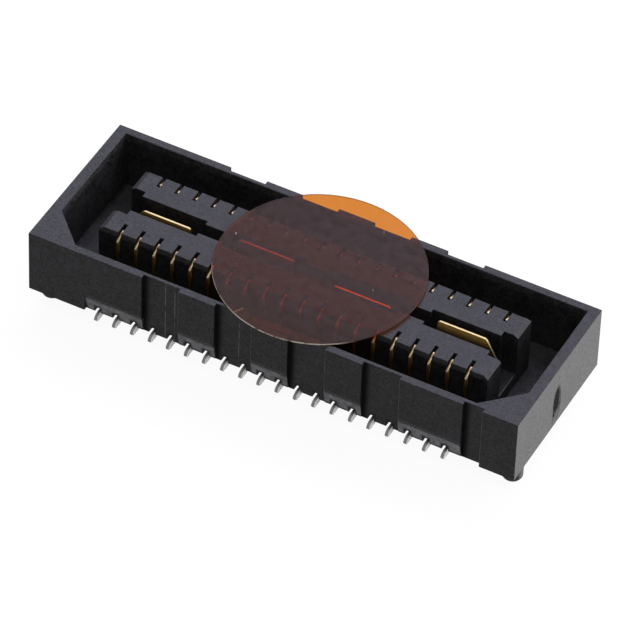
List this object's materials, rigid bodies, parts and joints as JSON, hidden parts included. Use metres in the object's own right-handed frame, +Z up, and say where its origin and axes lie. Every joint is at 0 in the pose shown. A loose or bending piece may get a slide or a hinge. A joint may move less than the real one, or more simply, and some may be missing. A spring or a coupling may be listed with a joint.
{
  "type": "board to board connector",
  "caption": "Surface mount board to board connector: long open shroud, contacts set in two ribs, centre ground strip with leaning tabs, locating pegs and a round pick up film.",
  "frame": {"origin": "centre of the body's outline on the plane of the circuit board, where the contact tails are soldered", "axes": "+X along the rows of contacts, -Y towards the side with the slanted corners and the pegs, +Z up out of the board"},
  "size_m": [0.0212, 0.0084, 0.0039],
  "materials": {
    "black_moulding": "fine satin moulding",
    "contact_plating": "gold over nickel at the mating end, matt tin at the tail",
    "ground_plating": "gold over nickel on the tabs",
    "amber_film": "clear amber film"
  },
  "bodies": {
    "root": {"housing": "black_moulding", "contact_front_01": "contact_plating", "contact_front_02": "contact_plating", "contact_front_03": "contact_plating", "contact_front_04": "contact_plating", "contact_front_05": "contact_plating", "contact_front_06": "contact_plating", "contact_front_07": "contact_plating", "contact_front_08": "contact_plating", "contact_front_09": "contact_plating", "contact_front_10": "contact_plating", "contact_front_11": "contact_plating", "contact_front_12": "contact_plating", "contact_front_13": "contact_plating", "contact_front_14": "contact_plating", "contact_front_15": "contact_plating", "contact_front_16": "contact_plating", "contact_front_17": "contact_plating", "contact_front_18": "contact_plating", "contact_front_19": "contact_plating", "contact_front_20": "contact_plating", "contact_rear_01": "contact_plating", "contact_rear_02": "contact_plating", "contact_rear_03": "contact_plating", "contact_rear_04": "contact_plating", "contact_rear_05": "contact_plating", "contact_rear_06": "contact_plating", "contact_rear_07": "contact_plating", "contact_rear_08": "contact_plating", "contact_rear_09": "contact_plating", "contact_rear_10": "contact_plating", "contact_rear_11": "contact_plating", "contact_rear_12": "contact_plating", "contact_rear_13": "contact_plating", "contact_rear_14": "contact_plating", "contact_rear_15": "contact_plating", "contact_rear_16": "contact_plating", "contact_rear_17": "contact_plating", "contact_rear_18": "contact_plating", "contact_rear_19": "contact_plating", "contact_rear_20": "contact_plating", "ground_plane": "ground_plating", "pick_place_film": "amber_film"}
  },
  "joints": []
}
